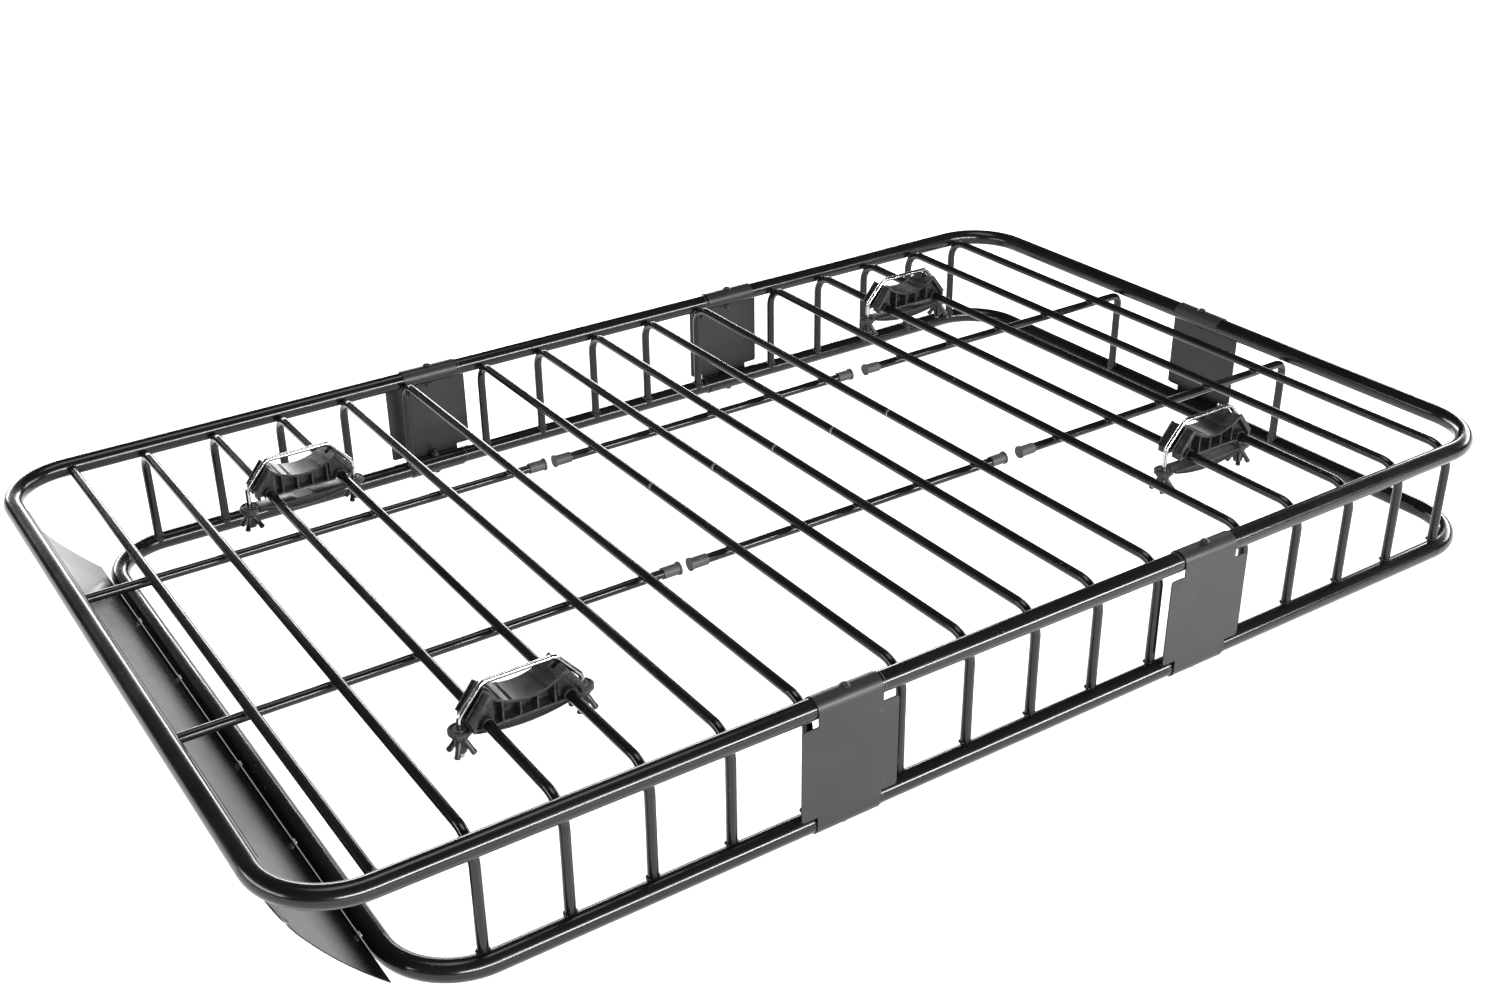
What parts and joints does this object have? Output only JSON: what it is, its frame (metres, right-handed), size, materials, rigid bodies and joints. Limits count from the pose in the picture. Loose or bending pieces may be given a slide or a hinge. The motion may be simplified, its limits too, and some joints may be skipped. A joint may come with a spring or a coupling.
{
  "type": "roof cargo basket",
  "caption": "Open tubular roof basket with bent cross bars, two bent-tube rings, bolted joint plates, a wind fairing and saddle clamps with U-bolts and hand knobs",
  "frame": {"origin": "Centre of the footprint at the lowest point, as the basket lies upside down on its rim with its clamps on top. In use it is turned over, about the X axis, and -Z is up on the vehicle.", "axes": "+X runs to the rear along the length, with the wind fairing at -X. +Y runs across the vehicle. +Z is the side that faces the vehicle's roof when in use."},
  "size_m": [1.6275, 0.994, 0.1962],
  "materials": {
    "tube_coat": "satin black powder coat",
    "plate_coat": "matt black powder coat",
    "fairing_coat": "smooth satin black powder coat",
    "clamp_plastic": "moulded black glass-filled nylon",
    "strip_plastic": "moulded black nylon",
    "cap_rubber": "matt black rubber",
    "fastener_black": "black oxide",
    "zinc_steel": "bright zinc plate"
  },
  "bodies": {
    "basket": {"front_cross_bar_1": "tube_coat", "front_cross_bar_2": "tube_coat", "front_cross_bar_3": "tube_coat", "front_cross_bar_4": "tube_coat", "front_cross_bar_5": "tube_coat", "front_cross_bar_6": "tube_coat", "front_floor_rail": "tube_coat", "front_joint_plate_left": "plate_coat", "front_joint_plate_right": "plate_coat", "front_left_saddle": "clamp_plastic", "front_left_strip": "strip_plastic", "front_right_saddle": "clamp_plastic", "front_right_strip": "strip_plastic", "front_rim_rail": "tube_coat", "front_runner_left": "tube_coat", "front_runner_right": "tube_coat", "joint_bolts": "fastener_black", "joint_nuts": "fastener_black", "middle_floor_rail_left": "tube_coat", "middle_floor_rail_right": "tube_coat", "middle_half_bars_left": "tube_coat", "middle_half_bars_right": "tube_coat", "middle_rim_rail_left": "tube_coat", "middle_rim_rail_right": "tube_coat", "middle_runner_left": "tube_coat", "middle_runner_right": "tube_coat", "rear_cross_bar_1": "tube_coat", "rear_cross_bar_2": "tube_coat", "rear_cross_bar_3": "tube_coat", "rear_cross_bar_4": "tube_coat", "rear_cross_bar_5": "tube_coat", "rear_end_plate": "plate_coat", "rear_floor_rail": "tube_coat", "rear_joint_plate_left": "plate_coat", "rear_joint_plate_right": "plate_coat", "rear_left_saddle": "clamp_plastic", "rear_left_strip": "strip_plastic", "rear_right_saddle": "clamp_plastic", "rear_right_strip": "strip_plastic", "rear_rim_rail": "tube_coat", "rear_runner_left": "tube_coat", "rear_runner_right": "tube_coat", "runner_end_caps": "cap_rubber", "wind_fairing": "fairing_coat"},
    "front_left_knob_a": {"front_left_knob_a": "clamp_plastic"},
    "front_left_knob_b": {"front_left_knob_b": "clamp_plastic"},
    "front_left_u_bolt": {"front_left_u_bolt": "zinc_steel"},
    "front_right_knob_a": {"front_right_knob_a": "clamp_plastic"},
    "front_right_knob_b": {"front_right_knob_b": "clamp_plastic"},
    "front_right_u_bolt": {"front_right_u_bolt": "zinc_steel"},
    "rear_left_knob_a": {"rear_left_knob_a": "clamp_plastic"},
    "rear_left_knob_b": {"rear_left_knob_b": "clamp_plastic"},
    "rear_left_u_bolt": {"rear_left_u_bolt": "zinc_steel"},
    "rear_right_knob_a": {"rear_right_knob_a": "clamp_plastic"},
    "rear_right_knob_b": {"rear_right_knob_b": "clamp_plastic"},
    "rear_right_u_bolt": {"rear_right_u_bolt": "zinc_steel"}
  },
  "joints": [
    {"name": "front_left_u_bolt_slide", "type": "slide", "parent": "basket", "child": "front_left_u_bolt", "axis": [0, 0, 1], "range_m": [-0.004, 0.012]},
    {"name": "front_left_knob_a_turn", "type": "hinge", "parent": "basket", "child": "front_left_knob_a", "pos_m": [-0.5545, -0.31, 0.1347], "axis": [0, 0, 1], "range_deg": [-5040, 2160]},
    {"name": "front_left_knob_b_turn", "type": "hinge", "parent": "basket", "child": "front_left_knob_b", "pos_m": [-0.4175, -0.31, 0.1347], "axis": [0, 0, 1], "range_deg": [-5040, 2160]},
    {"name": "front_right_u_bolt_slide", "type": "slide", "parent": "basket", "child": "front_right_u_bolt", "axis": [0, 0, 1], "range_m": [-0.004, 0.006]},
    {"name": "front_right_knob_a_turn", "type": "hinge", "parent": "basket", "child": "front_right_knob_a", "pos_m": [-0.5545, 0.278, 0.1347], "axis": [0, 0, 1], "range_deg": [-2880, 2160]},
    {"name": "front_right_knob_b_turn", "type": "hinge", "parent": "basket", "child": "front_right_knob_b", "pos_m": [-0.4175, 0.278, 0.1347], "axis": [0, 0, 1], "range_deg": [-2880, 2160]},
    {"name": "rear_left_u_bolt_slide", "type": "slide", "parent": "basket", "child": "rear_left_u_bolt", "axis": [0, 0, 1], "range_m": [-0.004, 0.006]},
    {"name": "rear_left_knob_a_turn", "type": "hinge", "parent": "basket", "child": "rear_left_knob_a", "pos_m": [0.432, -0.286, 0.1347], "axis": [0, 0, 1], "range_deg": [-2880, 2160]},
    {"name": "rear_left_knob_b_turn", "type": "hinge", "parent": "basket", "child": "rear_left_knob_b", "pos_m": [0.569, -0.286, 0.1347], "axis": [0, 0, 1], "range_deg": [-2880, 2160]},
    {"name": "rear_right_u_bolt_slide", "type": "slide", "parent": "basket", "child": "rear_right_u_bolt", "axis": [0, 0, 1], "range_m": [-0.004, 0.006]},
    {"name": "rear_right_knob_a_turn", "type": "hinge", "parent": "basket", "child": "rear_right_knob_a", "pos_m": [0.432, 0.319, 0.1347], "axis": [0, 0, 1], "range_deg": [-2880, 2160]},
    {"name": "rear_right_knob_b_turn", "type": "hinge", "parent": "basket", "child": "rear_right_knob_b", "pos_m": [0.569, 0.319, 0.1347], "axis": [0, 0, 1], "range_deg": [-2880, 2160]}
  ],
  "couplings": [
    {"joint": "front_left_knob_a_turn", "follows": "front_left_u_bolt_slide", "rad_per_m": -6283.2},
    {"joint": "front_left_knob_b_turn", "follows": "front_left_u_bolt_slide", "rad_per_m": -6283.2},
    {"joint": "front_right_knob_a_turn", "follows": "front_right_u_bolt_slide", "rad_per_m": -6283.2},
    {"joint": "front_right_knob_b_turn", "follows": "front_right_u_bolt_slide", "rad_per_m": -6283.2},
    {"joint": "rear_left_knob_a_turn", "follows": "rear_left_u_bolt_slide", "rad_per_m": -6283.2},
    {"joint": "rear_left_knob_b_turn", "follows": "rear_left_u_bolt_slide", "rad_per_m": -6283.2},
    {"joint": "rear_right_knob_a_turn", "follows": "rear_right_u_bolt_slide", "rad_per_m": -6283.2},
    {"joint": "rear_right_knob_b_turn", "follows": "rear_right_u_bolt_slide", "rad_per_m": -6283.2}
  ]
}
